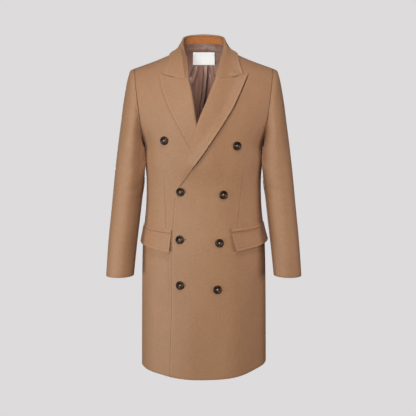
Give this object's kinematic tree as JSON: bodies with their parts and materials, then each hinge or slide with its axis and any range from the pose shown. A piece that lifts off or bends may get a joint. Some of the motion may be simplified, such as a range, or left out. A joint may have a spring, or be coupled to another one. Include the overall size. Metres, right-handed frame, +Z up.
{
  "type": "double-breasted overcoat",
  "caption": "Knee-length double-breasted wool overcoat with peak lapels and flap pockets, filled out as worn, hollow and open at neck, cuffs and hem.",
  "frame": {"origin": "midway between the two points where the shoulder seams meet the neck, where a wearer carries the coat", "axes": "+Z up along the coat's length, -Y the way the wearer faces, +X the wearer's left"},
  "size_m": [0.624, 0.2928, 1.0802],
  "materials": {
    "coat_cloth": "camel wool melton with a soft brushed nap",
    "lining": "mauve-brown satin lining",
    "collar_band": "orange-tan felt inside the collar",
    "label": "blank white woven label",
    "button_horn": "polished dark horn"
  },
  "bodies": {
    "root": {"front_left": "coat_cloth", "front_right": "coat_cloth", "back_left": "coat_cloth", "back_right": "coat_cloth", "sleeve_top_left": "coat_cloth", "sleeve_top_right": "coat_cloth", "sleeve_under_left": "coat_cloth", "sleeve_under_right": "coat_cloth", "lapel_left": "coat_cloth", "lapel_right": "coat_cloth", "collar_fall": "coat_cloth", "collar_stand": "collar_band", "pocket_flap_left": "coat_cloth", "pocket_flap_right": "coat_cloth", "pocket_welt_left": "coat_cloth", "pocket_welt_right": "coat_cloth", "lining_back": "lining", "neck_label": "label", "button_right_1": "button_horn", "button_right_2": "button_horn", "button_right_3": "button_horn", "button_right_4": "button_horn", "button_left_1": "button_horn", "button_left_2": "button_horn", "button_left_3": "button_horn", "button_left_4": "button_horn"}
  },
  "joints": []
}
